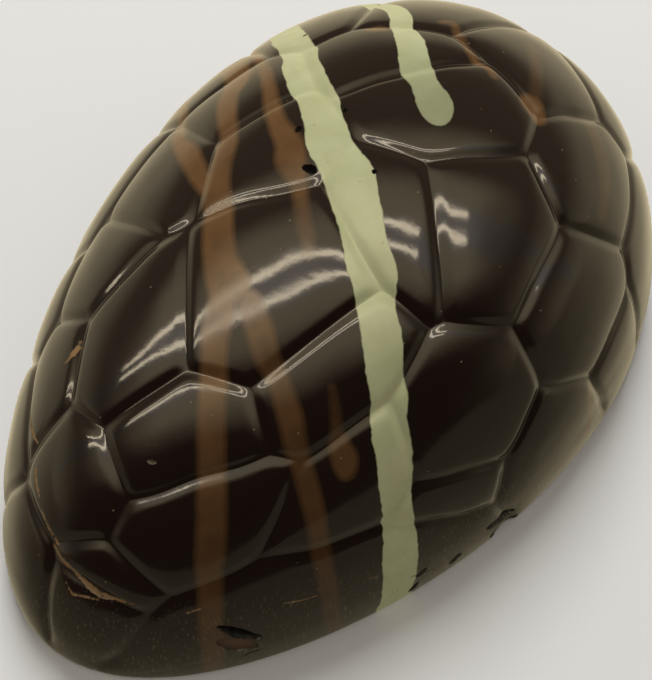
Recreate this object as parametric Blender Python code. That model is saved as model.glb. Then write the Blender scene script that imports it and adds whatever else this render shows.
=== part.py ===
"""Half of a moulded chocolate egg, lying on its cut rim with the dome up.

The egg lies along X with its big end at +X. Its dome is covered with cushion-shaped panels
that meet in rounded grooves, like a cracked shell. The grooves fade out towards a plain rim,
with a sliver missing at one edge and a burst air bubble a little above it.
"""

import itertools
import math

import bmesh
import bpy
import numpy as np
from mathutils import Vector

MM = 0.001

# The egg: half its length, half its width at the middle station, and how its outline grows
# towards the big end. The dome stands a little taller than half the width.
HALF_LENGTH = 70.0 * MM
EGG_RADIUS = 46.3 * MM
BIG_END_GAIN = 0.19
DOME_RISE = 1.12

# The relief: how much each cushion rises from its edge, how far in it keeps rising, how
# softly its corners turn, the narrow groove along the edge, and the height over which the
# relief comes in above the plain rim.
CUSHION_RISE = 0.55 * MM
CUSHION_REACH = 7.0 * MM
CUSHION_SOFTNESS = 1.6 * MM
GROOVE_DEPTH = 0.32 * MM
GROOVE_REACH = 1.7 * MM
GROOVE_SOFTNESS = 0.35 * MM
GROOVE_BOTTOM = 0.5 * MM
FULL_RELIEF = 6.0 * MM

# The mesh: steps along the grooves, and the rings inside each panel's edge. Rings further in
# than the halving distance have half as many points.
POINT_SPACING = 3.2 * MM
RINGS = (0.85 * MM, 1.7 * MM, 3.8 * MM, 6.8 * MM, 10.0 * MM, 13.5 * MM, 17.5 * MM, 21.5 * MM)
HALVE_AT = 3.0 * MM
SMALLEST_RING = 0.15
ON_BASE = 0.001 * MM

# Each panel grows from a centre: station along the egg (mm), degrees over the dome from the
# far rim (0) by the ridge (90) to the near rim (180), and reach (mm). A groove runs where two
# panels' spheres of that reach would meet.
PANELS = (
    # ridge, from the small end to the big end
    (-66.5, 37, 1), (-44, 89, 16.5), (-34.5, 101, 23.5), (-30.5, 85.5, 23.5), (-25.5, 95, 24.5),
    (-8, 70.5, 17), (-6.5, 105.5, 12), (26, 90, 11), (28, 85.5, 11.5), (50.5, 93, 17),
    (61, 113, 15.5),
    # near side
    (-64.5, 143.5, 9.5), (-55.5, 122, 8.5), (-40.5, 121.5, 21.5), (-27.5, 108.5, 23),
    (-30.5, 146.5, 24.5), (-16.5, 151, 23), (7.5, 120.5, 7), (15.5, 152.5, 15.5),
    (36.5, 132.5, 5.5),
    # near rim
    (-35.5, 199.5, 43.5), (-23.5, 167.5, 28), (-1.5, 177.5, 27), (20.5, 170, 18), (44, 165.5, 17),
    # far side
    (-36.5, 58, 15), (-21.5, 54, 20), (-13.5, 55, 20.5), (-2, 58, 16), (51, 63.5, 23),
    # far rim
    (-44.5, 19, 12.5), (-24, 24, 20), (-9, 23, 24.5), (12.5, 26.5, 22.5), (41.5, 38.5, 25),
    (57, 24, 17),
)

# Damage: an ellipsoid is cut away at each place, given by station (mm), degrees over the
# dome, its half-sizes along the rim, outwards and upwards, and how many degrees it leans.
RIM_CHIP = (-8, 178, (3.0 * MM, 1.5 * MM, 1.5 * MM), 0)
BURST_BUBBLE = (-51.7, 158.5, (4.2 * MM, 2.2 * MM, 1.0 * MM), -45)

# Edges bent more than this stay sharp: the base's outline and the edges of the damage.
SHARP_ANGLE = math.radians(50)

DARK_CHOCOLATE = (0.0065, 0.0044, 0.0035, 1.0)


def clear_scene():
    """Remove whatever the file opened with."""
    for thing in list(bpy.data.objects):
        bpy.data.objects.remove(thing, do_unlink=True)


def chocolate():
    """Dark chocolate as it leaves a polished mould: nearly black and glossy."""
    material = bpy.data.materials.new("dark_chocolate")
    material.use_nodes = True
    shader = material.node_tree.nodes["Principled BSDF"]
    shader.inputs["Base Color"].default_value = DARK_CHOCOLATE
    shader.inputs["Roughness"].default_value = 0.18
    shader.inputs["Metallic"].default_value = 0.0
    return material


def unit(vectors):
    """Each vector at length 1."""
    return vectors / np.linalg.norm(vectors, axis=-1, keepdims=True)


def on_egg(station, turn):
    """Points on the smooth dome: station along the axis, turn in radians from the far rim."""
    t = station / HALF_LENGTH
    radius = EGG_RADIUS * np.sqrt(1.0 - t * t) * (1.0 + BIG_END_GAIN * t)
    return np.stack([station, radius * np.cos(turn), DOME_RISE * radius * np.sin(turn)], axis=-1)


def outside(points):
    """y*y + (z/rise)^2 - radius^2: above 0 outside the smooth egg and below 0 inside it."""
    x, y, z = np.moveaxis(points, -1, 0)
    t = x / HALF_LENGTH
    swell = 1.0 + BIG_END_GAIN * t
    return y * y + (z / DOME_RISE) ** 2 - EGG_RADIUS**2 * (1.0 - t * t) * swell**2


def gradient(points):
    """The gradient of outside, which points straight out of the egg."""
    x, y, z = np.moveaxis(points, -1, 0)
    t = x / HALF_LENGTH
    swell = 1.0 + BIG_END_GAIN * t
    slope = 2 * EGG_RADIUS**2 / HALF_LENGTH * swell * (BIG_END_GAIN * (1 - t * t) - t * swell)
    return np.stack([-slope, 2 * y, 2 * z / DOME_RISE**2], axis=-1)


def onto_egg(points, wall=None):
    """Move points onto the egg: along the ray from its middle, or inside a wall's plane."""
    points = np.array(points, dtype=float)
    for _ in range(6):
        slope = gradient(points)
        way = points
        if wall is not None:
            way = slope - (slope @ wall)[..., None] * wall
        points -= way * (outside(points) / (slope * way).sum(axis=-1))[..., None]
    return points


def panel_centres():
    """Panel centres in space, and the square of each panel's reach."""
    table = np.array(PANELS, dtype=float)
    centres = on_egg(table[:, 0] * MM, np.radians(table[:, 1]))
    return centres, (table[:, 2] * MM) ** 2


CENTRES, REACH_SQUARED = panel_centres()


def outreach(points):
    """How far each point lies outside each panel's sphere, as squared distances."""
    apart = points[..., None, :] - CENTRES
    return (apart * apart).sum(axis=-1) - REACH_SQUARED


def wall_distances(spare, owners):
    """How far each point lies inside its panel's wall with each other panel."""
    spacing = 2 * np.linalg.norm(CENTRES[owners][:, None] - CENTRES, axis=-1)
    own = np.take_along_axis(spare, owners[:, None], axis=1)
    itself = spacing == 0
    return np.where(itself, 1.0, (spare - own) / np.where(itself, 1.0, spacing))


def soft_least(distances, softness):
    """A least value with rounded corners: -k * log(sum of exp(-distance / k))."""
    least = distances.min(axis=1, keepdims=True)
    total = np.exp(-(distances - least) / softness).sum(axis=1)
    return least[:, 0] - softness * np.log(total)


def smoothstep(low, high, value):
    """0 below low, 1 above high, and a smooth climb between."""
    t = np.clip((value - low) / (high - low), 0.0, 1.0)
    return t * t * (3.0 - 2.0 * t)


def groove_distance(points, softness):
    """Distance to the nearest groove, with rounded corners and a rounded bottom. The views
    from the panels on both sides of a groove are mixed, so they agree on the groove itself."""
    spare = outreach(points)
    first, second = np.argsort(spare, axis=1)[:, :2].T
    own = soft_least(wall_distances(spare, first), softness)
    across = soft_least(wall_distances(spare, second), softness)
    mix = 0.5 + 0.5 * smoothstep(0.0, GROOVE_BOTTOM, own - across)
    return mix * own + (1 - mix) * across


def relief(points):
    """How far the surface lies below the smooth egg: cushions, and grooves between them."""
    inset = np.clip(groove_distance(points, CUSHION_SOFTNESS) / CUSHION_REACH, -0.2, 1.0)
    cushion = CUSHION_RISE * (1.0 - inset) ** 2
    groove = GROOVE_DEPTH * (1.0 - smoothstep(0.0, GROOVE_REACH, groove_distance(points, GROOVE_SOFTNESS)))
    return (cushion + groove) * smoothstep(0.0, FULL_RELIEF, points[:, 2])


def bisected(near, far, stays_near):
    """Halve the spans again and again, keeping the half in which stays_near changes."""
    for _ in range(40):
        middle = (near + far) / 2
        same = stays_near(middle)
        near, far = np.where(same, middle, near), np.where(same, far, middle)
    return near


def groove_corners():
    """Where three panels meet on the dome. The points at equal outreach from three centres
    form a line, and the corner is where it leaves the egg, if no other panel covers it."""
    triples = np.array(list(itertools.combinations(range(len(PANELS)), 3)))
    i, j, k = triples.T
    powers = (CENTRES**2).sum(axis=1) - REACH_SQUARED
    first = 2 * (CENTRES[j] - CENTRES[i])
    second = 2 * (CENTRES[k] - CENTRES[i])
    along = unit(np.cross(first, second))
    levels = np.stack([powers[j] - powers[i], powers[k] - powers[i], 0 * i], axis=1)
    start = np.linalg.solve(np.stack([first, second, along], axis=1), levels[..., None])[..., 0]
    reach = np.linspace(-2 * HALF_LENGTH, 2 * HALF_LENGTH, 281)
    out = outside(start[:, None] + along[:, None] * reach[:, None]) > 0
    row, step = np.nonzero(out[:, 1:] != out[:, :-1])
    start, along, was_out = start[row], along[row], out[row, step]

    def still_there(middle):
        return (outside(start + along * middle[:, None]) > 0) == was_out

    pierce = bisected(reach[step], reach[step + 1], still_there)
    found = start + along * pierce[:, None]
    spare = outreach(found)
    own = spare[np.arange(len(row)), i[row]]
    real = (found[:, 2] > 0) & (own < spare.min(axis=1) + 1e-9)
    groups = [frozenset(map(int, three)) for three in triples[row[real]]]
    return found[real], groups


def rim_line(angle):
    """Points on the rim, by angle round the egg's middle."""
    c, s = np.cos(angle), np.sin(angle)
    return np.stack([HALF_LENGTH * c, EGG_RADIUS * s * (1 + BIG_END_GAIN * c), 0 * c], axis=-1)


def rim_corners():
    """Angles at which a groove meets the rim, and the two panels beside each."""
    angles = np.linspace(0, 2 * math.pi, 7201)
    owners = outreach(rim_line(angles)).argmin(axis=1)
    step = np.flatnonzero(owners[1:] != owners[:-1])
    pairs = np.stack([owners[step], owners[step + 1]], axis=1)

    def still_first(middle):
        spare = np.take_along_axis(outreach(rim_line(middle)), pairs, axis=1)
        return spare[:, 0] < spare[:, 1]

    found = bisected(angles[step], angles[step + 1], still_first)
    return found, [frozenset(map(int, pair)) for pair in pairs]


def groove_points(start, end, pair):
    """Even steps along a groove between its two corners, within the wall's plane."""
    first, second = sorted(pair)
    wall = unit(CENTRES[second] - CENTRES[first])
    count = 2 * max(1, round(np.linalg.norm(end - start) / POINT_SPACING / 2))
    share = np.linspace(0, 1, count + 1)[1:-1, None]
    return onto_egg(start + (end - start) * share, wall)


def rim_points(first, last):
    """Even steps along the rim between two angles, the short way round."""
    if last - first > math.pi:
        last -= 2 * math.pi
    angles = np.linspace(first, last, 400)
    steps = np.linalg.norm(np.diff(rim_line(angles), axis=0), axis=1)
    travelled = np.concatenate([[0], np.cumsum(steps)])
    count = 2 * max(1, round(travelled[-1] / POINT_SPACING / 2))
    stops = np.linspace(0, travelled[-1], count + 1)[1:-1]
    return rim_line(np.interp(stops, travelled, angles))


def panel_outlines():
    """All points of the groove network, and for each panel the ring of points round it,
    running anticlockwise as seen from outside."""
    corners, corner_groups = groove_corners()
    angles, rim_groups = rim_corners()
    points = [*corners, *rim_line(angles)]
    groups = [*corner_groups, *rim_groups]
    sides = {}
    outlines = []
    for panel in range(len(PANELS)):
        mine = np.array([k for k, group in enumerate(groups) if panel in group])
        spots = np.array([points[k] for k in mine])
        middle = spots.mean(axis=0)
        out = unit(gradient(onto_egg(middle)))
        side = unit(np.cross(out, CENTRES[panel] - CENTRES[panel - 1]))
        turn = np.arctan2((spots - middle) @ np.cross(out, side), (spots - middle) @ side)
        ring = [int(k) for k in mine[np.argsort(turn)]]
        outline = []
        for a, b in zip(ring, ring[1:] + ring[:1]):
            start, end = sorted((a, b))
            if (start, end) not in sides:
                if start >= len(corners):
                    between = rim_points(angles[start - len(corners)], angles[end - len(corners)])
                else:
                    between = groove_points(points[start], points[end], groups[a] & groups[b])
                sides[start, end] = list(range(len(points), len(points) + len(between)))
                points.extend(between)
            row = sides[start, end]
            outline.append(a)
            outline.extend(row if a == start else row[::-1])
        outlines.append(outline)
    return np.array(points), outlines


class Shell:
    """Points and triangles of the half egg, as they are made."""

    def __init__(self, points):
        self.points = [tuple(point) for point in points]
        self.triangles = []

    def add(self, points):
        """Keep new points and return their numbers."""
        first = len(self.points)
        self.points.extend(tuple(point) for point in points)
        return list(range(first, len(self.points)))

    def join(self, outer, inner):
        """Triangles between two closed rings, with equal counts or 2 to 1."""
        ratio = len(outer) // len(inner)
        for k, here in enumerate(inner):
            following = inner[(k + 1) % len(inner)]
            row = [outer[(ratio * k + n) % len(outer)] for n in range(ratio + 1)]
            for a, b in zip(row[:-1], row[1:]):
                self.triangles.append((a, b, here if a == row[0] else following))
            self.triangles.append((row[1], following, here))

    def close(self, ring, middle):
        """A fan of triangles from a ring to one middle point."""
        tip = self.add([middle])[0]
        for a, b in zip(ring, ring[1:] + ring[:1]):
            self.triangles.append((a, b, tip))


def fill_panel(shell, network, outline):
    """Fill a panel's outline with rings that shrink towards its middle."""
    edge = network[outline]
    middle = onto_egg(edge.mean(axis=0))
    size = np.linalg.norm(edge - middle, axis=1).mean()
    outer = outline
    for distance in RINGS:
        share = 1 - distance / size
        if share < SMALLEST_RING:
            break
        kept = edge if distance < HALVE_AT else edge[::2]
        inner = shell.add(onto_egg(middle + (kept - middle) * share))
        shell.join(outer, inner)
        outer = inner
    shell.close(outer, middle)


def smooth_half_egg():
    """A closed half egg whose mesh follows the grooves, with a flat base."""
    network, outlines = panel_outlines()
    shell = Shell(network)
    for outline in outlines:
        fill_panel(shell, network, outline)
    on_rim = np.flatnonzero(np.abs(network[:, 2]) < ON_BASE)
    order = np.argsort(-np.arctan2(network[on_rim, 1], network[on_rim, 0]))
    rim = [int(k) for k in on_rim[order]]
    shell.close(rim, (0.0, 0.0, 0.0))
    return np.array(shell.points), shell.triangles


def cutter(name, place, shift):
    """A stretched ball that a Boolean takes out of the egg, turned to follow the rim."""
    station, degrees, half_sizes, lean = place
    spot = on_egg(station * MM, math.radians(degrees))
    outwards = gradient(spot)
    mesh = bmesh.new()
    bmesh.ops.create_icosphere(mesh, subdivisions=2, radius=1.0)
    data = bpy.data.meshes.new(name)
    mesh.to_mesh(data)
    mesh.free()
    ball = bpy.data.objects.new(name, data)
    ball.location = Vector(spot + shift)
    heading = math.atan2(outwards[1], outwards[0]) - math.pi / 2
    ball.rotation_euler = (0.0, math.radians(lean), heading)
    ball.scale = half_sizes
    ball.hide_render = True
    ball.display_type = "WIRE"
    bpy.context.scene.collection.objects.link(ball)
    return ball


def half_egg():
    """The whole half egg, with its panels pressed in and its damage cut out."""
    smooth, triangles = smooth_half_egg()
    pressed = smooth - unit(gradient(smooth)) * relief(smooth)[:, None]
    pressed[-1] = (0.0, 0.0, 0.0)
    middle = (pressed.min(axis=0) + pressed.max(axis=0)) / 2
    shift = np.array([-middle[0], -middle[1], 0.0])
    data = bpy.data.meshes.new("half_egg")
    data.from_pydata((pressed + shift).tolist(), [], triangles)
    data.shade_smooth()
    data.set_sharp_from_angle(angle=SHARP_ANGLE)
    data.materials.append(chocolate())
    egg = bpy.data.objects.new("half_egg", data)
    bpy.context.scene.collection.objects.link(egg)
    for name, place in (("rim_chip", RIM_CHIP), ("burst_bubble", BURST_BUBBLE)):
        boolean = egg.modifiers.new(name, "BOOLEAN")
        boolean.operation = "DIFFERENCE"
        boolean.solver = "EXACT"
        boolean.object = cutter(name + "_cutter", place, shift)
    print("half egg:", len(triangles), "triangles before the cuts")
    return egg


clear_scene()
egg = half_egg()
print("half egg:", [round(side / MM, 1) for side in egg.dimensions], "mm")
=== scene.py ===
# %% [markdown]
# # Half of a moulded chocolate egg
#
# The real thing is one half of a dark chocolate egg, lying on its cut rim. It was cast in a
# polished mould whose wall is covered with cushion-shaped panels, so its own wall looks like a
# cracked shell. Before the dark chocolate went in, ivory and milk chocolate were drizzled across
# the mould, and the stripes came out flush with the surface. This lesson works that surface out
# from formulas, paints it from distances measured on it, and lights it like a small studio set.
#
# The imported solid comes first. It fixes the size and the place of everything that follows.

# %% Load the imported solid
import itertools
import math

import bpy
import numpy as np
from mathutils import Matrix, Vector


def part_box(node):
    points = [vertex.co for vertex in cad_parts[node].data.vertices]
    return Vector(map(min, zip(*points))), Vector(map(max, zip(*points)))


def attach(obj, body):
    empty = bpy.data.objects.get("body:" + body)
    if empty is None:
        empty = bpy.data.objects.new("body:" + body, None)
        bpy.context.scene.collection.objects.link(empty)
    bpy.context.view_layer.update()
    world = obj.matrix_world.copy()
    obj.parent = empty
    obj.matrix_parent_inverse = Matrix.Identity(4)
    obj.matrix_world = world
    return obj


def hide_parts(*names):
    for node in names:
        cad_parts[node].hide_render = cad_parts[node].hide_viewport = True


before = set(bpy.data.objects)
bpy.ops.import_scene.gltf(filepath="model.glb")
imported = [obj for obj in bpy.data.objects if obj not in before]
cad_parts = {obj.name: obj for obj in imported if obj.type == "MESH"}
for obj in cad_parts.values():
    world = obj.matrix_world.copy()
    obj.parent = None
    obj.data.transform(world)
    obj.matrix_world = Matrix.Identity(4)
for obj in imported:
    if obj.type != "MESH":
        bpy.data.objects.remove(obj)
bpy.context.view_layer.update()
low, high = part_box("half_egg")
MM = 0.001
print("solid:", [round((b - a) / MM, 1) for a, b in zip(low, high)], "mm")

# %% [markdown]
# The smooth egg has one formula. Along its axis the radius is that of a circle, stretched to
# the egg's length and swollen towards one end. Across the axis the dome is a half ellipse, a
# little taller than it is wide. A point is named by its station along the axis and by its
# turn over the dome: 0 degrees at the far rim, 90 on the ridge, 180 at the near rim.

# %% The smooth egg
HALF_LENGTH = 70.0 * MM
EGG_RADIUS = 46.3 * MM
BIG_END_GAIN = 0.19
DOME_RISE = 1.12


def on_egg(station, turn):
    """Points of the smooth dome. With t = station / half length, the radius is
    R * sqrt(1 - t*t) * (1 + gain*t), y = radius * cos(turn), z = rise * radius * sin(turn)."""
    t = station / HALF_LENGTH
    radius = EGG_RADIUS * np.sqrt(1.0 - t * t) * (1.0 + BIG_END_GAIN * t)
    return np.stack([station, radius * np.cos(turn), DOME_RISE * radius * np.sin(turn)], axis=-1)


def outside(points):
    """y*y + (z/rise)^2 - radius^2: above 0 outside the smooth egg and below 0 inside it."""
    x, y, z = np.moveaxis(points, -1, 0)
    t = x / HALF_LENGTH
    swell = 1.0 + BIG_END_GAIN * t
    return y * y + (z / DOME_RISE) ** 2 - EGG_RADIUS**2 * (1.0 - t * t) * swell**2


def gradient(points):
    """The gradient of outside, worked out by hand. It points straight out of the egg."""
    x, y, z = np.moveaxis(points, -1, 0)
    t = x / HALF_LENGTH
    swell = 1.0 + BIG_END_GAIN * t
    slope = 2 * EGG_RADIUS**2 / HALF_LENGTH * swell * (BIG_END_GAIN * (1 - t * t) - t * swell)
    return np.stack([-slope, 2 * y, 2 * z / DOME_RISE**2], axis=-1)


def unit(vectors):
    """Each vector at length 1."""
    return vectors / np.linalg.norm(vectors, axis=-1, keepdims=True)


def onto_egg(points, wall=None):
    """Newton's steps onto the egg: along the ray from its middle, or inside a wall's plane."""
    points = np.array(points, dtype=float)
    for _ in range(6):
        slope = gradient(points)
        way = points if wall is None else slope - (slope @ wall)[..., None] * wall
        points -= way * (outside(points) / (slope * way).sum(axis=-1))[..., None]
    return points


print("egg length:", round(2 * HALF_LENGTH / MM, 1), "mm")

# %% [markdown]
# The panels look like cracked earth or soap cells: straight-sided, irregular, three meeting at
# each corner. Cells like these come from a power diagram. Each panel is a sphere centred on the
# egg, and a point belongs to the sphere it lies deepest in. The walls between spheres are flat
# planes, so the grooves are clean lines, and moving one centre moves only its own panel.

# %% The panels
# Station along the egg (mm), degrees over the dome, and the sphere's reach (mm).
PANELS = (
    # ridge, from the small end to the big end
    (-66.5, 37, 1), (-44, 89, 16.5), (-34.5, 101, 23.5), (-30.5, 85.5, 23.5), (-25.5, 95, 24.5),
    (-8, 70.5, 17), (-6.5, 105.5, 12), (26, 90, 11), (28, 85.5, 11.5), (50.5, 93, 17),
    (61, 113, 15.5),
    # near side
    (-64.5, 143.5, 9.5), (-55.5, 122, 8.5), (-40.5, 121.5, 21.5), (-27.5, 108.5, 23),
    (-30.5, 146.5, 24.5), (-16.5, 151, 23), (7.5, 120.5, 7), (15.5, 152.5, 15.5),
    (36.5, 132.5, 5.5),
    # near rim
    (-35.5, 199.5, 43.5), (-23.5, 167.5, 28), (-1.5, 177.5, 27), (20.5, 170, 18), (44, 165.5, 17),
    # far side
    (-36.5, 58, 15), (-21.5, 54, 20), (-13.5, 55, 20.5), (-2, 58, 16), (51, 63.5, 23),
    # far rim
    (-44.5, 19, 12.5), (-24, 24, 20), (-9, 23, 24.5), (12.5, 26.5, 22.5), (41.5, 38.5, 25),
    (57, 24, 17),
)
table = np.array(PANELS, dtype=float)
CENTRES = on_egg(table[:, 0] * MM, np.radians(table[:, 1]))
REACH_SQUARED = (table[:, 2] * MM) ** 2


def outreach(points):
    """Squared distance of each point to each centre, less the sphere's squared reach."""
    apart = points[..., None, :] - CENTRES
    return (apart * apart).sum(axis=-1) - REACH_SQUARED


def wall_distances(spare, owners):
    """The wall between panels i and j lies where their outreaches are equal, so a point is
    (outreach j - outreach i) / (2 * distance between the centres) inside it. A panel has no
    wall with itself."""
    apart = 2 * np.linalg.norm(CENTRES[owners][:, None] - CENTRES, axis=-1)
    apart[np.arange(len(owners)), owners] = np.inf
    own = np.take_along_axis(spare, owners[:, None], axis=1)
    return np.where(np.isinf(apart), 1.0, (spare - own) / np.where(np.isinf(apart), 1.0, apart))


def soft_least(distances, softness):
    """A least value with rounded corners: -k * log(sum of exp(-distance / k))."""
    least = distances.min(axis=1, keepdims=True)
    total = np.exp(-(distances - least) / softness).sum(axis=1)
    return least[:, 0] - softness * np.log(total)


print("panels:", len(PANELS))

# %% [markdown]
# Three panels meet at a corner. Points at equal outreach from three centres form a straight
# line, and the corner is where that line leaves the egg. Trying every set of three and keeping
# the corners that no other panel covers gives the whole network, with nothing drawn by hand.

# %% The corners
def bisected(near, far, stays_near, rounds=40):
    """Halve the spans again and again, keeping the half in which stays_near changes."""
    for _ in range(rounds):
        middle = (near + far) / 2
        same = stays_near(middle)
        near, far = np.where(same, middle, near), np.where(same, far, middle)
    return near


def groove_corners():
    """Corners of three panels on the dome, and which panels meet at each."""
    triples = np.array(list(itertools.combinations(range(len(PANELS)), 3)))
    i, j, k = triples.T
    powers = (CENTRES**2).sum(axis=1) - REACH_SQUARED
    first, second = 2 * (CENTRES[j] - CENTRES[i]), 2 * (CENTRES[k] - CENTRES[i])
    along = unit(np.cross(first, second))
    levels = np.stack([powers[j] - powers[i], powers[k] - powers[i], 0 * i], axis=1)
    start = np.linalg.solve(np.stack([first, second, along], axis=1), levels[..., None])[..., 0]
    reach = np.linspace(-2 * HALF_LENGTH, 2 * HALF_LENGTH, 281)
    out = outside(start[:, None] + along[:, None] * reach[:, None]) > 0
    row, step = np.nonzero(out[:, 1:] != out[:, :-1])
    start, along, was_out = start[row], along[row], out[row, step]
    pierce = bisected(
        reach[step], reach[step + 1],
        lambda middle: (outside(start + along * middle[:, None]) > 0) == was_out,
    )
    found = start + along * pierce[:, None]
    spare = outreach(found)
    own = spare[np.arange(len(row)), i[row]]
    real = (found[:, 2] > 0) & (own < spare.min(axis=1) + 1e-9)
    return found[real], [frozenset(map(int, three)) for three in triples[row[real]]]


def rim_line(angle):
    """The rim: x = half * cos(angle), y = R * sin(angle) * (1 + gain * cos(angle))."""
    c, s = np.cos(angle), np.sin(angle)
    return np.stack([HALF_LENGTH * c, EGG_RADIUS * s * (1 + BIG_END_GAIN * c), 0 * c], axis=-1)


def rim_corners():
    """Angles at which a groove meets the rim, and the two panels beside each."""
    angles = np.linspace(0, 2 * math.pi, 7201)
    owners = outreach(rim_line(angles)).argmin(axis=1)
    step = np.flatnonzero(owners[1:] != owners[:-1])
    pairs = np.stack([owners[step], owners[step + 1]], axis=1)

    def still_first(middle):
        spare = np.take_along_axis(outreach(rim_line(middle)), pairs, axis=1)
        return spare[:, 0] < spare[:, 1]

    found = bisected(angles[step], angles[step + 1], still_first)
    return found, [frozenset(map(int, pair)) for pair in pairs]


dome_corners, dome_groups = groove_corners()
rim_angles, rim_groups = rim_corners()
print("corners:", len(dome_corners), "on the dome,", len(rim_angles), "on the rim")

# %% [markdown]
# The mesh follows the grooves, because a polished cushion shows every stray edge in its
# reflections. Each groove between two corners becomes a row of points that both its panels
# share, and each panel's outline is the ring of its grooves.

# %% The grooves and the panels' outlines
POINT_SPACING = 0.7 * MM


def groove_points(start, end, pair, spacing):
    """Even steps along a groove: the straight line between its corners lies in the wall's
    plane, and is pushed out onto the egg within that plane."""
    first, second = sorted(pair)
    wall = unit(CENTRES[second] - CENTRES[first])
    count = 4 * max(1, round(np.linalg.norm(end - start) / spacing / 4))
    share = np.linspace(0, 1, count + 1)[1:-1, None]
    return onto_egg(start + (end - start) * share, wall)


def rim_points(first, last, spacing):
    """Even steps along the rim between two angles, the short way round."""
    if last - first > math.pi:
        last -= 2 * math.pi
    angles = np.linspace(first, last, 400)
    steps = np.linalg.norm(np.diff(rim_line(angles), axis=0), axis=1)
    travelled = np.concatenate([[0], np.cumsum(steps)])
    count = 4 * max(1, round(travelled[-1] / spacing / 4))
    return rim_line(np.interp(np.linspace(0, travelled[-1], count + 1)[1:-1], travelled, angles))


def panel_outlines(spacing):
    """All points of the network, and for each panel the ring of points round it, running
    anticlockwise as seen from outside."""
    points = [*dome_corners, *rim_line(rim_angles)]
    groups = [*dome_groups, *rim_groups]
    first_rim = len(dome_corners)
    sides, outlines = {}, []
    for panel in range(len(PANELS)):
        mine = np.array([k for k, group in enumerate(groups) if panel in group])
        spots = np.array([points[k] for k in mine])
        middle = spots.mean(axis=0)
        out = unit(gradient(onto_egg(middle)))
        side = unit(np.cross(out, CENTRES[panel] - CENTRES[panel - 1]))
        turn = np.arctan2((spots - middle) @ np.cross(out, side), (spots - middle) @ side)
        ring = [int(k) for k in mine[np.argsort(turn)]]
        outline = []
        for a, b in zip(ring, ring[1:] + ring[:1]):
            start, end = sorted((a, b))
            if (start, end) not in sides:
                if start >= first_rim:
                    angles = rim_angles[start - first_rim], rim_angles[end - first_rim]
                    between = rim_points(*angles, spacing)
                else:
                    pair = groups[a] & groups[b]
                    between = groove_points(points[start], points[end], pair, spacing)
                sides[start, end] = list(range(len(points), len(points) + len(between)))
                points.extend(between)
            row = sides[start, end]
            outline += [a, *(row if a == start else row[::-1])]
        outlines.append(outline)
    return np.array(points), outlines


network, outlines = panel_outlines(POINT_SPACING)
print("network:", len(network), "points in", len(outlines), "outlines")

# %% [markdown]
# Inside its outline a panel is filled with rings that shrink towards its middle, close together
# beside the groove and further apart on the flat of the cushion. The flat underside is filled
# in the same way from the rim.

# %% The rings
# Distance of each ring from the outline (mm). Past each HALVE_AT it has half as many points.
RINGS = (
    0.15, 0.3, 0.5, 0.75, 1.05, 1.4, 1.9, 2.5, 3.2, 4.2, 5.3, 6.4, 7.6, 8.8, 10.0, 11.2,
    *range(12, 40),
)
HALVE_AT = (3.5, 9.0)
SMALLEST_RING = 0.03
BASE_RINGS = (0.93, 0.7, 0.4)
vertex_parts, face_parts = [network], []
vertex_total = len(network)


def add_vertices(points):
    """Keep new points and return their numbers."""
    global vertex_total
    vertex_parts.append(points)
    vertex_total += len(points)
    return np.arange(vertex_total - len(points), vertex_total)


def join_rings(outer, inner):
    """Faces between two closed rings, which have equal counts or 2 to 1, as triangles."""
    if len(outer) == len(inner):
        a, b = outer, np.roll(outer, -1)
        c, d = np.roll(inner, -1), inner
        face_parts.extend([np.stack([a, b, c], axis=1), np.stack([a, c, d], axis=1)])
    else:
        a, b, c = outer[::2], outer[1::2], np.roll(outer, -2)[::2]
        d, e = inner, np.roll(inner, -1)
        for corner in ((a, b, d), (b, e, d), (b, c, e)):
            face_parts.append(np.stack(corner, axis=1))


def close_ring(ring, middle):
    """A fan of triangles from the innermost ring to one middle point."""
    tip = np.full(len(ring), add_vertices(middle[None])[0])
    face_parts.append(np.stack([ring, np.roll(ring, -1), tip], axis=1))


for outline in outlines:
    edge = network[outline]
    middle = onto_egg(edge.mean(axis=0))
    size = np.linalg.norm(edge - middle, axis=1).mean()
    outer = np.array(outline)
    for distance in RINGS:
        share = 1 - distance * MM / size
        if share < SMALLEST_RING:
            break
        kept = edge[::2 ** sum(distance > limit for limit in HALVE_AT)]
        inner = add_vertices(onto_egg(middle + (kept - middle) * share))
        join_rings(outer, inner)
        outer = inner
    close_ring(outer, middle)

on_rim = np.flatnonzero(np.abs(network[:, 2]) < MM / 1000)
rim_turn = np.arctan2(network[on_rim, 1], network[on_rim, 0])
outer = on_rim[np.argsort(-rim_turn)]
rim_ring = network[outer]
for share in BASE_RINGS:
    inner = add_vertices(rim_ring * share)
    join_rings(outer, inner)
    outer = inner
close_ring(outer, np.zeros(3))

points = np.concatenate(vertex_parts)
triangles = np.concatenate(face_parts)
print("egg:", len(points), "points,", len(triangles), "triangles")

# %% [markdown]
# Everything drawn on the egg is a line: a stripe, a scrape, a hole. Each is a row of points
# with half a width at each and a strength, and the distance from a mesh point to that line
# says how far inside the line it lies.

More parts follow.
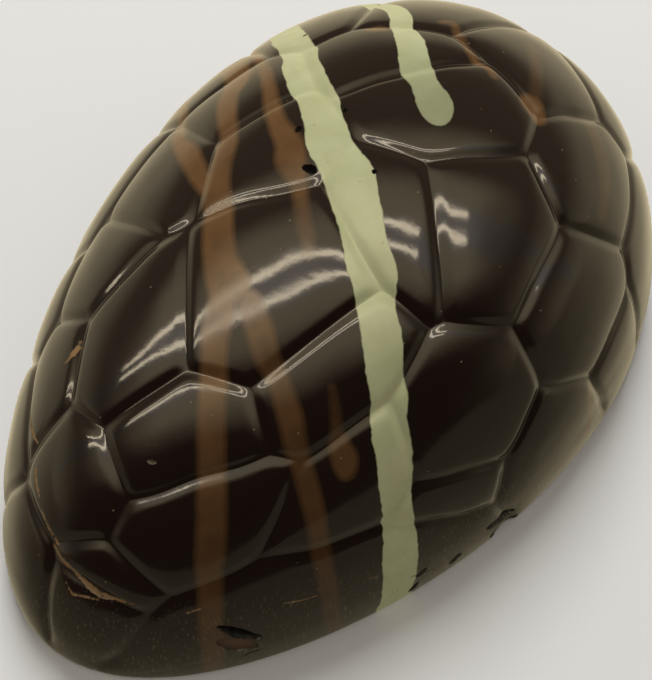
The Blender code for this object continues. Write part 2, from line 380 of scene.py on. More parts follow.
# %% Lines on the egg
def drawn_line(rows, step):
    """A smooth line through rows of station, degrees, half width and strength: a Catmull-Rom
    spline, p(t) = four neighbours with cubic weights, sampled about every step metres."""
    knots = np.array([(*row, 1.0)[:4] for row in rows])
    knots = np.concatenate([[2 * knots[0] - knots[1]], knots, [2 * knots[-1] - knots[-2]]])
    pieces = []
    for p in (knots[k:k + 4] for k in range(len(knots) - 3)):
        reach = np.linalg.norm(np.diff(on_egg(p[1:3, 0] * MM, np.radians(p[1:3, 1])), axis=0))
        t = np.linspace(0.0, 1.0, max(2, int(reach / step)))[:, None]
        cubes = (-t + 2 * t**2 - t**3, 2 - 5 * t**2 + 3 * t**3)
        cubes += (t + 4 * t**2 - 3 * t**3, t**3 - t**2)
        pieces.append(sum(cube * knot for cube, knot in zip(cubes, p)) / 2)
    line = np.concatenate(pieces)
    return on_egg(line[:, 0] * MM, np.radians(line[:, 1])), line[:, 2] * MM, line[:, 3]


def inside_lines(points, lines, step=0.4 * MM):
    """At each point: half width less distance to the nearest line, and that line's strength."""
    best = np.full(len(points), -20 * MM)
    strength = np.zeros(len(points))
    for rows in lines:
        line, half_width, line_strength = drawn_line(rows, step)
        for start in range(0, len(line), 64):
            part = slice(start, start + 64)
            apart = ((points[:, None] - line[None, part]) ** 2).sum(axis=-1)
            inside = half_width[part] - np.sqrt(apart)
            nearest = inside.argmax(axis=1)
            inside = np.take_along_axis(inside, nearest[:, None], axis=1)[:, 0]
            better = inside > best
            best = np.where(better, inside, best)
            strength = np.where(better, line_strength[part][nearest], strength)
    return best, strength


# Scrapes and scratches through the gloss: station (mm), degrees, half width (mm).
SCRAPES = (
    ((-58.5, 69, 0.25), (-59.8, 75, 0.4), (-60.8, 81, 0.35)),
    ((-61.3, 79, 0.2), (-61.9, 87, 0.45), (-62, 93, 0.45), (-62.2, 101, 0.45),
     (-62.1, 111, 0.45), (-61.4, 118, 0.45), (-60, 126, 0.2)),
    ((-63.6, 95, 0.15), (-64, 101, 0.25), (-63.5, 106, 0.25), (-62.5, 114, 0.15)),
    ((-40.5, 58, 0.25), (-38.5, 59.5, 0.5), (-37.4, 59.5, 0.25)),
    ((-54.2, 59, 0.25), (-55.4, 61, 0.4), (-57, 65.5, 0.25)),
    ((-48.3, 46.5, 0.25), (-50, 50.7, 0.4), (-51.3, 55, 0.25)),
    ((-55.5, 140.7, 0.2), (-54, 141.6, 0.2)),
    ((-44.8, 154.5, 0.15), (-43, 156.3, 0.2), (-39.5, 158.6, 0.12)),
    ((-32.9, 162.3, 0.15), (-31.6, 163.1, 0.15)),
)
# Holes and chips: station (mm), degrees, half length, half height and depth (mm), how many
# degrees the long side leans, and how pale the broken face inside is. Where that is 0, the
# inside is painted near-black: painted shade for the dark of the hollow.
HOLES = (
    # the burst bubble and the lip below it
    (-52.6, 163.5, 3.9, 1.5, 0.55, -38, 1.0),
    (-51.7, 158.3, 4.2, 0.95, 2.2, -45, 0.0),
    (-51.3, 171.7, 1.6, 0.25, 0.5, 11, 0.0),
    # the chip in the rim
    (-8.4, 178.6, 3.4, 1.6, 0.9, -8, 1.0),
    (-9.3, 174.6, 3.5, 0.95, 2.0, -14, 0.0),
    # nicks along the rim
    (-25.1, 172, 1.2, 0.7, 0.3, 34, 0.3),
    (-26.6, 177, 1.4, 0.6, 0.5, 50, 0.2),
    (-18.8, 176, 1.3, 1.0, 0.3, 40, 0.4),
    # pinholes where air bubbles touched the mould
    (4, 80, 0.6, 0.45, 1.2, 0, 0.0),
    (-0.7, 87.4, 1.15, 0.75, 1.8, 20, 0.0),
    (11, 84.2, 0.35, 0.3, 0.8, 0, 0.0),
    (4.6, 97, 0.4, 0.35, 0.9, 0, 0.0),
    (24.5, 59.3, 0.35, 0.3, 0.8, 0, 0.0),
    (-45.2, 98.6, 0.7, 0.3, 0.25, 10, 0.4),
)
print("scrapes:", len(SCRAPES), "holes and chips:", len(HOLES))

# %% [markdown]
# Small damage needs small triangles. Where a hole or a scrape will come, every long edge is
# halved up to four times, each time closer in. The rest of the egg keeps its larger triangles.

# %% Smaller triangles at the damage
RIM_SLACK = 2 * EGG_RADIUS * 0.05 * MM
# Round by round: how near to the damage an edge must lie, and how long it must be (mm).
HALVING = ((2.0, 0.8), (1.0, 0.45), (0.5, 0.25), (0.3, 0.2))


def is_base(points):
    """True for points of the flat underside that lie inside the rim."""
    return (points[:, 2] < MM / 1000) & (outside(points) < -RIM_SLACK)


def refined(points, triangles, near, shortest):
    """Halve each edge whose two ends are near, unless it is short already. A triangle with
    one, two or three halved edges becomes two, three or four. New points of the dome are put
    back onto the egg."""
    ends = np.sort(np.stack([triangles, np.roll(triangles, -1, axis=1)], axis=2), axis=2)
    keys, which = np.unique(ends[..., 0] * len(points) + ends[..., 1], return_inverse=True)
    ends = np.stack([keys // len(points), keys % len(points)], axis=1)
    length = np.linalg.norm(points[ends[:, 1]] - points[ends[:, 0]], axis=1)
    halved = near[ends].all(axis=1) & (length > shortest)
    number = np.where(halved, len(points) + np.cumsum(halved) - 1, -1)
    middles = points[ends[halved]].mean(axis=1)
    dome = ~is_base(middles)
    middles[dome] = onto_egg(middles[dome])
    halves = number[which.reshape(-1, 3)]
    count = (halves >= 0).sum(axis=1)
    first = np.where(count == 2, (halves < 0).argmax(axis=1) + 1, (halves >= 0).argmax(axis=1))
    turned = (first[:, None] + np.arange(3)) % 3
    a, b, c = np.take_along_axis(triangles, turned, axis=1).T
    p, q, r = np.take_along_axis(halves, turned, axis=1).T
    patterns = (
        ((a, b, c),),
        ((a, p, c), (p, b, c)),
        ((p, b, q), (a, p, q), (a, q, c)),
        ((a, p, r), (p, b, q), (r, q, c), (p, q, r)),
    )
    pieces = [
        np.stack(corners, axis=1)[count == k]
        for k, pattern in enumerate(patterns) for corners in pattern
    ]
    return np.concatenate([points, middles]), np.concatenate(pieces)


hole_lines = [((hole[0], hole[1], hole[2]), (hole[0] + 0.1, hole[1], hole[2])) for hole in HOLES]
for reach, shortest in HALVING:
    from_damage, _ = inside_lines(points, [*SCRAPES, *hole_lines])
    near_damage = from_damage > -reach * MM
    points, triangles = refined(points, triangles, near_damage, shortest * MM)
print("refined:", len(points), "points,", len(triangles), "triangles")

# %% [markdown]
# The relief is one number per point: how far the surface lies below the smooth egg. Two shapes
# add up. Each cushion swells towards its middle, and a narrow groove with a rounded bottom runs
# along its edge. The mould's wall was engraved by hand, so the lines waver a little. Scrapes
# are shallow furrows on top of that.

# %% The relief
CUSHION_RISE = 0.55 * MM
CUSHION_REACH = 7.0 * MM
CUSHION_SOFTNESS = 1.6 * MM
GROOVE_DEPTH = 0.32 * MM
GROOVE_REACH = 1.7 * MM
GROOVE_SOFTNESS = 0.35 * MM
GROOVE_BOTTOM = 0.5 * MM
FULL_RELIEF = 6.0 * MM
LINE_WANDER = 0.18 * MM
UNEVENNESS = 0.012 * MM
SCRAPE_DEPTH = 0.07 * MM
RIM_ROUNDING = 0.5 * MM


def smoothstep(low_edge, high_edge, value):
    """0 below one edge, 1 above the other, and 3t^2 - 2t^3 between."""
    t = np.clip((value - low_edge) / (high_edge - low_edge), 0.0, 1.0)
    return t * t * (3.0 - 2.0 * t)


def waver(points, wavelength, seed, waves=7):
    """A smooth wandering value between about -1 and 1: the mean of a few sine waves that run
    through space in seeded directions, sin(2 pi * (direction . point) / wavelength + phase)."""
    chance = np.random.default_rng(seed)
    ways = unit(chance.normal(size=(waves, 3))) * 2 * math.pi / wavelength
    ways *= chance.uniform(0.7, 1.4, size=(waves, 1))
    phases = chance.uniform(0, 2 * math.pi, waves)
    return np.sin(points @ ways.T + phases).sum(axis=1) / math.sqrt(waves)


def soft_groove_distance(points, softness):
    """Distance to the nearest groove with rounded corners. Near a groove the view from its
    own panel and from the panel across are mixed, so both sides agree on the groove itself."""
    spare = outreach(points)
    first, second = np.argsort(spare, axis=1)[:, :2].T
    own = soft_least(wall_distances(spare, first), softness)
    across = soft_least(wall_distances(spare, second), softness)
    mix = 0.5 + 0.5 * smoothstep(0.0, GROOVE_BOTTOM, own - across)
    return mix * own + (1 - mix) * across


def relief(cushion_distance, groove_distance, height):
    """Cushion: C * (1 - d/w)^2 out to w. Groove: G * (1 - s^2 * (3 - 2s)), with s = d/f."""
    cushion = CUSHION_RISE * (1.0 - np.clip(cushion_distance / CUSHION_REACH, -0.2, 1.0)) ** 2
    groove = GROOVE_DEPTH * (1.0 - smoothstep(0.0, GROOVE_REACH, groove_distance))
    return (cushion + groove) * smoothstep(0.0, FULL_RELIEF, height)


smooth = points
height = smooth[:, 2]
on_base = is_base(smooth)
normals = unit(gradient(smooth))
normals[on_base] = (0.0, 0.0, -1.0)
wander = np.stack([waver(smooth, 14 * MM, seed) for seed in (1, 2, 3)], axis=1)
wandering = smooth + LINE_WANDER * wander
cushion_distance = soft_groove_distance(wandering, CUSHION_SOFTNESS)
groove = soft_groove_distance(wandering, GROOVE_SOFTNESS)
depth = relief(cushion_distance, groove, height)
depth += UNEVENNESS * waver(smooth, 6 * MM, 4) * smoothstep(0.0, FULL_RELIEF, height)
scrape, _ = inside_lines(smooth, SCRAPES, 0.2 * MM)
scrape += 0.08 * MM * waver(smooth, 0.9 * MM, 5)
depth += SCRAPE_DEPTH * smoothstep(0.0, 0.25 * MM, scrape)
sunk = np.clip(1.0 - height / RIM_ROUNDING, 0.0, 1.0)
depth += RIM_ROUNDING * (1.0 - np.sqrt(1.0 - sunk**2))
depth[on_base] = 0.0
pressed = smooth - normals * depth[:, None]
print("deepest groove:", round(depth[height > FULL_RELIEF].max() / MM, 2), "mm")

# %% [markdown]
# Chips and holes are half ellipsoids pushed into the surface. A point inside the mouth moves
# straight in by depth * sqrt(1 - r^2), where r runs from 0 in the middle to 1 at the mouth. A
# little wandering keeps the mouths from looking drilled.

# %% Chips and holes
def scoop(points, smooth, place):
    """Push points inwards within one mouth. Also returns how far down the hole each is, 0 to 1."""
    station, degrees, half_length, half_height, deep, lean, _ = place
    centre = on_egg(station * MM, np.radians(degrees))
    out = unit(gradient(centre))
    side = unit(np.array([-out[1], out[0], 0.0]))
    up = np.cross(out, side)
    turn = math.radians(lean)
    ragged = smooth + 0.12 * min(half_height, 1.0) * MM * np.stack(
        [waver(smooth, 2.2 * MM, seed) for seed in (6, 7, 8)], axis=1
    )
    local = ragged - centre
    a = local @ (side * math.cos(turn) + up * math.sin(turn)) / (half_length * MM)
    b = local @ (up * math.cos(turn) - side * math.sin(turn)) / (half_height * MM)
    near = np.abs(local @ out) < 4 * MM
    down = np.sqrt(np.clip(1.0 - a * a - b * b, 0.0, 1.0)) * near
    return points - out * (down * deep * MM)[:, None], down


hollow, pale = np.zeros(len(smooth)), np.zeros(len(smooth))
for place in HOLES:
    pressed, down = scoop(pressed, smooth, place)
    # pale 0 marks a hole whose inside is painted black as shade
    pale = np.where(down > 0, place[-1], pale)
    hollow = np.maximum(hollow, down)
pressed[:, 2] = np.where(on_base, 0.0, np.maximum(pressed[:, 2], 0.0))
print("points inside holes:", int((hollow > 0).sum()))

# %% The mesh
def make_mesh(name, vertices, triangles):
    """One mesh object from arrays of corner indices, shaded smooth."""
    mesh = bpy.data.meshes.new(name)
    mesh.vertices.add(len(vertices))
    mesh.vertices.foreach_set("co", vertices.astype(np.float32).ravel())
    mesh.loops.add(triangles.size)
    mesh.loops.foreach_set("vertex_index", triangles.astype(np.int32).ravel())
    mesh.polygons.add(len(triangles))
    mesh.polygons.foreach_set("loop_start", np.arange(0, triangles.size, 3, dtype=np.int32))
    mesh.update(calc_edges=True)
    mesh.validate()
    mesh.shade_smooth()
    thing = bpy.data.objects.new(name, mesh)
    bpy.context.scene.collection.objects.link(thing)
    return thing


middle_of_solid = np.array([(low.x + high.x) / 2, (low.y + high.y) / 2, 0.0])
egg = make_mesh("egg_shell", pressed + middle_of_solid, triangles)
egg.data.set_sharp_from_angle(angle=math.radians(60))
print("mesh:", len(egg.data.vertices), "points,", len(egg.data.polygons), "triangles")

# %% [markdown]
# The drizzled stripes use the same lines. The distance inside a stripe is stored on the mesh in
# millimetres and the material cuts it at zero, which gives an edge much sharper than the mesh
# itself. The ivory lies thick with a crisp edge. The milk chocolate is thinner in places, so
# its rows end with how well it covers.

# %% The stripes
# Rows of station (mm), degrees over the dome, half the stripe's width (mm) and how well it
# covers, from 0 to 1 (1 where it isn't given).
IVORY_STRIPES = (
    ((44, 0, 2.6), (38, 22, 2.6), (31, 40, 2.6), (20.8, 61, 2.8), (16.8, 67, 3),
     (13.2, 73, 3.1), (10.1, 79, 3), (7.4, 83, 3.1), (4.8, 86, 3.2), (2.8, 91, 3.6),
     (1.1, 95, 3.7), (-0.9, 98, 3.5), (-2.6, 101, 3.3), (-4.5, 104, 3.2), (-6.2, 107, 3.3),
     (-7.9, 110, 3.2), (-9.9, 113, 3.2), (-11.6, 116, 3.1), (-13, 119, 3), (-14.7, 122, 2.8),
     (-16.1, 125, 2.8), (-17.5, 128, 2.8), (-19.4, 131, 2.6), (-20.6, 134, 2.9),
     (-21.8, 138, 3.1), (-23.2, 142, 3), (-24.5, 146, 2.8), (-25.7, 151, 2.7),
     (-27.9, 162, 3.2), (-28.8, 169, 3.2), (-30, 180, 3.2)),
    ((52, 20, 1.8), (45, 45, 1.7), (37.4, 70, 1.6), (33.6, 76, 1.9), (30.8, 80, 2.1),
     (25.9, 87, 2.5, 0.85), (23.2, 91, 2.4, 0.7), (21.1, 95, 2.6, 0.6), (19.9, 97, 2.6, 0.6),
     (19, 98, 2.4, 0.6)),
)
MILK_STRIPES = (
    # from the far rim to the pool on the ridge
    ((36, 0, 2), (24, 30, 2.1), (12, 54, 2.4), (5.7, 59, 1.9), (-0.4, 66, 1.6), (-3.8, 69, 2),
     (-8.9, 72, 2.3), (-13, 77, 2.4), (-16.6, 81, 2.4), (-19.4, 85, 2.7), (-21.1, 89, 3.2)),
    ((22, 12, 1.4), (8, 38, 1.3), (-2.1, 52, 1.1), (-5.5, 60, 1.7), (-8.7, 67, 1.5),
     (-10.6, 72, 1.3)),
    ((34, 20, 1.2), (15.6, 57, 0.8), (10.1, 66, 1.1), (6.2, 71, 1.3), (3.3, 76, 1.4),
     (0.9, 81, 2.1), (-0.9, 83, 2.3), (-3.3, 87, 1.4, 0.9), (-5.5, 90, 1.1, 0.7),
     (-7.7, 93, 1.1, 0.6), (-9.6, 96, 1, 0.5), (-11.3, 98, 0.8, 0.4)),
    # from the pool down to the near rim
    ((-22.2, 89, 2), (-25.9, 92, 2), (-29.3, 95, 1.9), (-33.4, 100, 1.9, 0.9),
     (-36.4, 104, 1.9, 0.8), (-40.1, 110, 1.9, 0.75), (-43.8, 117, 2, 0.7),
     (-49.1, 129, 2, 0.6), (-52.1, 140, 1.7, 0.6), (-55, 156, 1.7, 0.5), (-57, 180, 1.7, 0.4)),
    ((-21.3, 95, 1.7), (-23.4, 100, 1.9, 0.9), (-25.7, 105, 1.7, 0.75), (-27, 110, 1.5, 0.7),
     (-29.1, 116, 1.7, 0.7), (-31.3, 122, 1.5, 0.65), (-33.6, 131, 1.5, 0.6),
     (-35.8, 140, 1.4, 0.5), (-38, 151, 1.4, 0.4), (-39.5, 166, 1.3, 0.3),
     (-40, 180, 1.3, 0.3)),
    # drops and threads
    ((-22.5, 118, 0.4, 0.35), (-24.3, 122, 0.6, 0.35), (-25.7, 125, 0.7, 0.5),
     (-26.8, 128, 1.4, 0.7), (-27.5, 131, 1.8, 0.7), (-28.2, 133, 1.4, 0.7)),
    ((38.7, 81, 0.3), (40.1, 83, 0.5), (38.5, 86, 0.6), (36.2, 90, 0.5), (34.3, 94, 0.6),
     (33.9, 98, 0.6), (33, 100, 0.5)),
    ((34.3, 108, 1.1), (34.1, 109, 1.9), (33.6, 111, 1.9), (33.2, 112, 1.3)),
    ((29.6, 72, 1), (30.4, 72.7, 1.5), (31, 74, 1.2)),
    ((14, 161, 0.6), (13.2, 167, 0.7), (12.8, 173, 0.9)),
    ((42.6, 121, 1.4, 0.25), (39.3, 127, 2, 0.25), (35.1, 132, 1.5, 0.25),
     (30.6, 135, 1.1, 0.25)),
    ((36.8, 108, 1.1, 0.25), (41.1, 105, 1.1, 0.25), (46.4, 100, 1.3, 0.25)),
)


def store(name, values):
    """Keep one number per mesh point, in millimetres where it is a length."""
    attribute = egg.data.attributes.new(name, "FLOAT", "POINT")
    attribute.data.foreach_set("value", values.astype(np.float32))


ivory, ivory_cover = inside_lines(smooth, IVORY_STRIPES)
ivory += 0.22 * MM * waver(smooth, 9 * MM, 9) + 0.07 * MM * waver(smooth, 2.5 * MM, 10)
milk, milk_cover = inside_lines(smooth, MILK_STRIPES)
store("ivory", ivory / MM)
store("milk", milk / MM)
store("ivory_cover", ivory_cover)
store("milk_cover", milk_cover)
store("scrape", scrape / MM)
store("hollow", hollow)
# 1 where a hole shows its pale broken face, 0 where its inside is painted black as shade
store("broken_face_vs_painted_shade", hollow * pale)
print("stripes:", len(IVORY_STRIPES), "ivory,", len(MILK_STRIPES), "milk")

# %% [markdown]
# Two small helpers serve every material: one turns an sRGB hex colour into linear numbers, and
# one adds a node with its settings and its links in a single line.

# %% Material helpers
def linear(hex_colour):
    """An sRGB colour such as "8a5a3c" as linear red, green, blue and alpha."""
    srgb = np.array([int(hex_colour[k:k + 2], 16) for k in (0, 2, 4)]) / 255
    rgb = np.where(srgb <= 0.04045, srgb / 12.92, ((srgb + 0.055) / 1.055) ** 2.4)
    return (*map(float, rgb), 1.0)


def add(tree, kind, inputs, **settings):
    """Add one node. Settings are its own properties. An input is a value, a link from a
    socket, or a node, whose first output in use is linked."""
    node = tree.nodes.new(kind)
    for name, value in settings.items():
        setattr(node, name, value)
    for key, value in inputs.items():
        if isinstance(value, bpy.types.Node):
            value = next(socket for socket in value.outputs if socket.enabled)
        if isinstance(value, bpy.types.NodeSocket):
            tree.links.new(value, node.inputs[key])
        else:
            node.inputs[key].default_value = value
    return node


def new_material(name):
    """An empty node material and its Principled shader."""
    material = bpy.data.materials.new(name)
    material.use_nodes = True
    return material, material.node_tree, material.node_tree.nodes["Principled BSDF"]


# %% [markdown]
# Dark chocolate that sets against a polished mould copies its gloss. Cocoa butter has a
# refractive index of about 1.46. The drizzled ivory and milk chocolate set against the same
# wall, but their gloss is softer and their colour differs. Ivory is thick and ends sharply.
# Milk is thinner, so dark chocolate shows through it and its edges fade.

# %% Chocolate: the stripes
chocolate, tree, shader = new_material("tempered_dark_chocolate_moulded")
MIX, MAP, MATHS, NOISE = (
    "ShaderNodeMix", "ShaderNodeMapRange", "ShaderNodeMath", "ShaderNodeTexNoise"
)
COLOUR = {"data_type": "RGBA"}
FACTOR, FIRST, SECOND = 0, 6, 7
spot = add(tree, "ShaderNodeTexCoord", {}).outputs["Object"]
stored = {
    name: add(tree, "ShaderNodeAttribute", {}, attribute_name=name).outputs["Fac"]
    for name in (
        "ivory", "ivory_cover", "milk", "milk_cover", "scrape", "hollow", "broken_face_vs_painted_shade"
    )
}
# Waves about 6 mm long move the milk's edge by a third of a millimetre either way.
waves = add(tree, NOISE, {"Vector": spot, "Scale": 170.0, "Detail": 2.0})
waves_mm = add(tree, MAP, {"Value": waves, "To Min": -0.35, "To Max": 0.35})
milk_edge = add(tree, MATHS, {0: stored["milk"], 1: waves_mm}, operation="ADD")
milk_inside = add(tree, MAP, {"Value": milk_edge, "From Min": -0.6, "From Max": 0.5})
# Clouds 4 mm across, where the film of milk chocolate is thinner.
clouds = add(tree, NOISE, {"Vector": spot, "Scale": 250.0, "Detail": 3.0})
thin = add(tree, MAP, {"Value": clouds, "From Min": 0.3, "From Max": 0.6, "To Min": 0.7})
milk_film = add(tree, MATHS, {0: stored["milk_cover"], 1: thin}, operation="MULTIPLY")
milk_mask = add(tree, MATHS, {0: milk_inside, 1: milk_film}, operation="MULTIPLY")
ripples = add(tree, NOISE, {"Vector": spot, "Scale": 900.0, "Detail": 2.0})
ripples_mm = add(tree, MAP, {"Value": ripples, "To Min": -0.12, "To Max": 0.12})
ivory_edge = add(tree, MATHS, {0: stored["ivory"], 1: ripples_mm}, operation="ADD")
ivory_inside = add(tree, MAP, {"Value": ivory_edge, "From Min": -0.14, "From Max": 0.1})
ivory_mask = add(tree, MATHS, {0: ivory_inside, 1: stored["ivory_cover"]}, operation="MULTIPLY")
# Ivory runs a touch darker and browner where the layer is thin.
ivory_tone = add(tree, MIX, {
    FACTOR: add(tree, MAP, {"Value": clouds, "From Min": 0.35, "From Max": 0.65}),
    FIRST: linear("babc8e"), SECOND: linear("c3c599"),
}, **COLOUR)
colour = add(tree, MIX, {
    FACTOR: milk_mask, FIRST: linear("1a110d"), SECOND: linear("68492b")
}, **COLOUR)
colour = add(tree, MIX, {FACTOR: ivory_mask, FIRST: colour, SECOND: ivory_tone}, **COLOUR)
print("stripe nodes:", len(tree.nodes))

# %% [markdown]
# Handling leaves its marks. Towards the rim the gloss is rubbed off and fine scratches run up
# the wall, where the half was lifted out of its mould. Scrapes show the paler, dull inside of
# the chocolate. Crumbs smaller than half a millimetre are scattered over everything.

# %% Chocolate: marks and gloss
up_the_wall = add(tree, "ShaderNodeSeparateXYZ", {"Vector": spot}).outputs["Z"]
patches = add(tree, NOISE, {"Vector": spot, "Scale": 60.0, "Detail": 4.0})
patches_m = add(tree, MAP, {"Value": patches, "To Min": -0.008, "To Max": 0.008})
rubbed_height = add(tree, MATHS, {0: up_the_wall, 1: patches_m}, operation="ADD")
rubbed = add(tree, MAP, {
    "Value": rubbed_height, "From Min": 0.02, "From Max": 0.009
}, interpolation_type="SMOOTHSTEP")
# Scratches: noise drawn out to eight times its width up the wall.
stretched = add(tree, "ShaderNodeMapping", {"Vector": spot, "Scale": (1.0, 1.0, 0.12)})
streaks = add(tree, NOISE, {"Vector": stretched, "Scale": 2600.0, "Detail": 3.0})
scratches = add(tree, MAP, {"Value": streaks, "From Min": 0.58, "From Max": 0.72})
rubbed_scratches = add(tree, MATHS, {0: scratches, 1: rubbed}, operation="MULTIPLY")
colour = add(tree, MIX, {
    FACTOR: add(tree, MATHS, {0: rubbed_scratches, 1: 0.4}, operation="MULTIPLY"),
    FIRST: colour, SECOND: linear("7a6f58"),
}, **COLOUR)
# Crumbs: one small ball in each 3.2 mm cell of space, seen where the surface cuts it.
cells = add(tree, "ShaderNodeTexVoronoi", {"Vector": spot, "Scale": 310.0})
crumbs = add(tree, MAP, {
    "Value": cells.outputs["Distance"], "From Min": 0.05, "From Max": 0.035
})
colour = add(tree, MIX, {
    FACTOR: add(tree, MATHS, {0: crumbs, 1: 0.6}, operation="MULTIPLY"),
    FIRST: colour, SECOND: linear("8c7a5c"),
}, **COLOUR)
# Scrapes and broken faces. Inside a hole the colour runs from the broken face's pale brown to
# near-black, which is painted shade for the dark of the hollow.
scraped = add(tree, MAP, {"Value": stored["scrape"], "From Min": -0.05, "From Max": 0.15})
scraped_patchy = add(tree, MATHS, {
    0: scraped, 1: add(tree, MAP, {"Value": ripples, "From Min": 0.3, "From Max": 0.45})
}, operation="MULTIPLY")
colour = add(tree, MIX, {
    FACTOR: scraped_patchy, FIRST: colour, SECOND: linear("8a6a42")
}, **COLOUR)
broken = add(tree, MAP, {"Value": stored["hollow"], "From Max": 0.2})
# The near-black end is painted shade for the depth of holes and nicks; the brown is the broken
# face's own colour.
inside = add(tree, MIX, {
    FACTOR: stored["broken_face_vs_painted_shade"], FIRST: linear("040303"), SECOND: linear("5a3f2b")
}, **COLOUR)
colour = add(tree, MIX, {FACTOR: broken, FIRST: colour, SECOND: inside}, **COLOUR)
tree.links.new(colour.outputs[2], shader.inputs["Base Color"])

# Gloss: about 0.1 on the dark wall, softer on milk and ivory, whose fat sets less smoothly, and
# dull where the wall is rubbed, scraped or broken.
polish = add(tree, MAP, {"Value": patches, "To Min": 0.06, "To Max": 0.13})
polish = add(tree, MIX, {FACTOR: milk_mask, 2: polish, 3: 0.2}, data_type="FLOAT")
polish = add(tree, MIX, {FACTOR: ivory_mask, 2: polish, 3: 0.36}, data_type="FLOAT")
dulled = add(tree, MATHS, {0: rubbed, 1: 0.2, 2: polish}, operation="MULTIPLY_ADD")
worn = add(tree, MATHS, {0: scraped, 1: broken}, operation="MAXIMUM")
worn = add(tree, MATHS, {0: worn, 1: crumbs}, operation="MAXIMUM")
rough = add(tree, MIX, {FACTOR: worn, 2: dulled, 3: 0.65}, data_type="FLOAT")
tree.links.new(rough.outputs[0], shader.inputs["Roughness"])
# The mould's polish is not perfect: ripples 1 mm long and a few micrometres high.
fine_height = add(tree, MATHS, {
    0: rubbed_scratches, 1: 0.5, 2: ripples
}, operation="MULTIPLY_ADD")
bump = add(tree, "ShaderNodeBump", {"Height": fine_height, "Distance": 0.007 * MM})
tree.links.new(bump.outputs[0], shader.inputs["Normal"])
shader.inputs["IOR"].default_value = 1.46
egg.data.materials.append(chocolate)
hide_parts("half_egg")
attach(egg, "root")
print("chocolate nodes:", len(tree.nodes))

# %% [markdown]
# The half egg lies on a plain pale floor, its small end towards the viewer's lower left. The
# camera looks down at it from close by, so the near end looks a little larger.

# %% Floor and camera
bpy.ops.mesh.primitive_plane_add(size=6.0, location=(0, 0, 0))
floor = bpy.context.object
floor.name = "floor"
floor_paint, _, floor_shader = new_material("pale_table_paint")
floor_shader.inputs["Base Color"].default_value = linear("f2f2f0")
floor_shader.inputs["Roughness"].default_value = 0.9
floor.data.materials.append(floor_paint)

CAMERA_DISTANCE = 233.3 * MM
CAMERA_TURN = math.radians(51.4)
CAMERA_ELEVATION = math.radians(60)
back = Vector((
    -math.sin(CAMERA_TURN) * math.cos(CAMERA_ELEVATION),
    -math.cos(CAMERA_TURN) * math.cos(CAMERA_ELEVATION),
    math.sin(CAMERA_ELEVATION),
))
camera_data = bpy.data.cameras.new("camera")
camera = bpy.data.objects.new("camera", camera_data)
bpy.context.scene.collection.objects.link(camera)
camera.location = back * CAMERA_DISTANCE
camera.rotation_mode = "QUATERNION"
camera.rotation_quaternion = (-back).to_track_quat("-Z", "Y")
camera_data.lens = 68.5
camera_data.sensor_width = 36.0
camera_data.shift_x = 2 / 680
camera_data.shift_y = 9.7 / 680
camera_data.clip_start = 0.01
bpy.context.scene.camera = camera
bpy.context.scene.view_settings.view_transform = "Standard"
print("camera at", [round(side / MM) for side in camera.location], "mm")

# %% [markdown]
# Gloss shows the room, so the room is part of the finish. Two long tubes hang side by side over
# the egg and draw the twin bright lines on every cushion. The ceiling round them glows, the far
# wall is dim and the near side of the room is nearly dark, which leaves the panels deep brown.

# %% Lamps
TUBE_HEIGHT = 0.54
TUBE_OFFSET = -0.0425
TUBE_GAP = 0.085
TUBE_WIDTH = 0.026
TUBE_LENGTH = 1.3
TUBE_SLIDE = -0.25
TUBE_RADIANCE = 14.0
lamp_axis = Vector((math.cos(CAMERA_TURN), -math.sin(CAMERA_TURN), 0.0))
lamp_side = Vector((math.sin(CAMERA_TURN), math.cos(CAMERA_TURN), 0.0))
for k, side in enumerate((-0.5, 0.5)):
    data = bpy.data.lights.new(f"tube_{k}", "AREA")
    data.shape = "RECTANGLE"
    data.size = TUBE_LENGTH
    data.size_y = TUBE_WIDTH
    data.energy = TUBE_RADIANCE * math.pi * TUBE_LENGTH * TUBE_WIDTH
    data.color = linear("ffedcc")[:3]
    tube = bpy.data.objects.new(f"tube_{k}", data)
    bpy.context.scene.collection.objects.link(tube)
    tube.location = lamp_axis * TUBE_SLIDE + lamp_side * (TUBE_OFFSET + TUBE_GAP * side)
    tube.location.z = TUBE_HEIGHT
    tube.rotation_euler = (0, 0, math.atan2(lamp_axis.y, lamp_axis.x))
    tube.visible_diffuse = False
print("tubes:", round(TUBE_LENGTH, 2), "m long at", TUBE_HEIGHT, "m")

# %% [markdown]
# Gloss and soft light are set apart, the way a product studio flags its lamps. The tubes and the
# room below only show in the gloss. The matt part of the colour is lit by one large soft lamp
# behind the egg and by an even fill, so the side that faces the camera falls into shade.

# %% The soft lamp
KEY_TILT = math.radians(36)
KEY_DISTANCE = 1.2
KEY_SIZE = 0.6
KEY_IRRADIANCE = 2.1
key_way = lamp_side * math.sin(KEY_TILT) + Vector((0, 0, math.cos(KEY_TILT)))
data = bpy.data.lights.new("soft_lamp", "AREA")
data.shape = "DISK"
data.size = KEY_SIZE
data.energy = KEY_IRRADIANCE * math.pi * KEY_DISTANCE**2
soft_lamp = bpy.data.objects.new("soft_lamp", data)
bpy.context.scene.collection.objects.link(soft_lamp)
soft_lamp.location = key_way * KEY_DISTANCE
soft_lamp.rotation_mode = "QUATERNION"
soft_lamp.rotation_quaternion = key_way.to_track_quat("Z", "Y")
soft_lamp.visible_glossy = False
print("soft lamp:", round(data.energy, 1), "W")

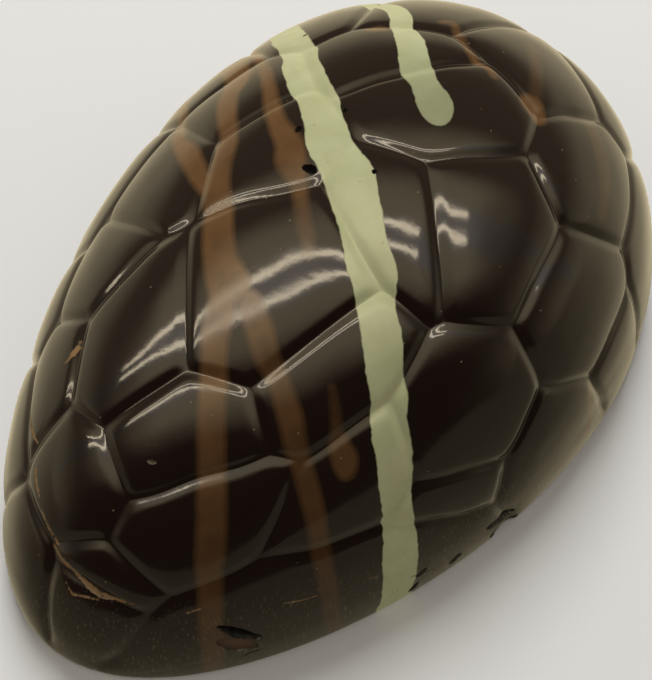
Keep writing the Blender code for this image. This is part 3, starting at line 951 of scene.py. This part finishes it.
# %% The room
GLOW_LEAN = -0.08
GLOW = 1.5
FAR_WALL = 0.24
HORIZON_GAIN = 3.2
NEAR_CARD = 0.26
FAR_CARD = 0.85
FILL = 0.26
BACKDROP = 0.75
floor.visible_glossy = False
floor.visible_diffuse = False
world = bpy.data.worlds.new("studio")
bpy.context.scene.world = world
world.use_nodes = True
sky = world.node_tree
way = add(sky, "ShaderNodeTexCoord", {}).outputs["Generated"]
DOT = {"operation": "DOT_PRODUCT"}
SMOOTH = {"interpolation_type": "SMOOTHSTEP"}
up = add(sky, "ShaderNodeVectorMath", {0: way, 1: (0, 0, 1)}, **DOT)
across = add(sky, "ShaderNodeVectorMath", {0: way, 1: tuple(lamp_side)}, **DOT)
along = add(sky, "ShaderNodeVectorMath", {0: way, 1: tuple(lamp_axis)}, **DOT)
# The glow round the tubes fades with the angle away from the plane they hang in.
lean = add(sky, MATHS, {0: across, 1: up}, operation="ARCTAN2")
off_plane = add(sky, MATHS, {0: lean, 1: GLOW_LEAN}, operation="SUBTRACT")
off_plane = add(sky, MATHS, {0: off_plane}, operation="ABSOLUTE")
glow = add(sky, MAP, {
    "Value": off_plane, "From Min": 0.25, "From Max": 0.7, "To Min": GLOW, "To Max": 0.0
}, **SMOOTH)
past_end = add(sky, MATHS, {0: along}, operation="ABSOLUTE")
reach = add(sky, MAP, {
    "Value": past_end, "From Min": 0.6, "From Max": 0.95, "To Min": 1.0, "To Max": 0.0
}, **SMOOTH)
glow = add(sky, MATHS, {0: glow, 1: reach}, operation="MULTIPLY")
# The far wall, brighter towards the horizon. The near side of the room stays dark.
wall = add(sky, MAP, {
    "Value": across, "From Min": -0.6, "From Max": 0.05, "To Min": 0.01, "To Max": FAR_WALL
}, **SMOOTH)
horizon = add(sky, MAP, {
    "Value": up, "From Min": 0.0, "From Max": 0.35, "To Min": HORIZON_GAIN, "To Max": 1.0
}, **SMOOTH)
room = add(sky, MATHS, {0: wall, 1: horizon, 2: glow}, operation="MULTIPLY_ADD")
below = add(sky, MAP, {"Value": up, "From Min": 0.0, "From Max": -0.08}, **SMOOTH)
card = add(sky, MAP, {
    "Value": across, "From Min": -0.3, "From Max": 0.45, "To Min": NEAR_CARD, "To Max": FAR_CARD
}, **SMOOTH)
strength = add(sky, MIX, {FACTOR: below, 2: room, 3: card}, data_type="FLOAT")
# The fill for the matt part, and a pale backdrop for a camera that looks past the floor.
ray = add(sky, "ShaderNodeLightPath", {}).outputs
for kind, value in (("Is Diffuse Ray", FILL), ("Is Camera Ray", BACKDROP)):
    strength = add(sky, MIX, {FACTOR: ray[kind], 2: strength, 3: value}, data_type="FLOAT")
# The diffuser between the tubes looks a little cooler than their warm light.
between = add(sky, MAP, {"Value": off_plane, "From Min": 0.2, "From Max": 0.08})
room_tint = add(sky, MIX, {
    FACTOR: between, FIRST: linear("ffeec4"), SECOND: linear("f1eade")
}, **COLOUR)
tint = add(sky, MIX, {
    FACTOR: ray["Is Glossy Ray"], FIRST: linear("fff8ee"), SECOND: room_tint
}, **COLOUR)
background = sky.nodes["Background"]
sky.links.new(tint.outputs[2], background.inputs["Color"])
sky.links.new(strength.outputs[0], background.inputs["Strength"])
print("room nodes:", len(sky.nodes))
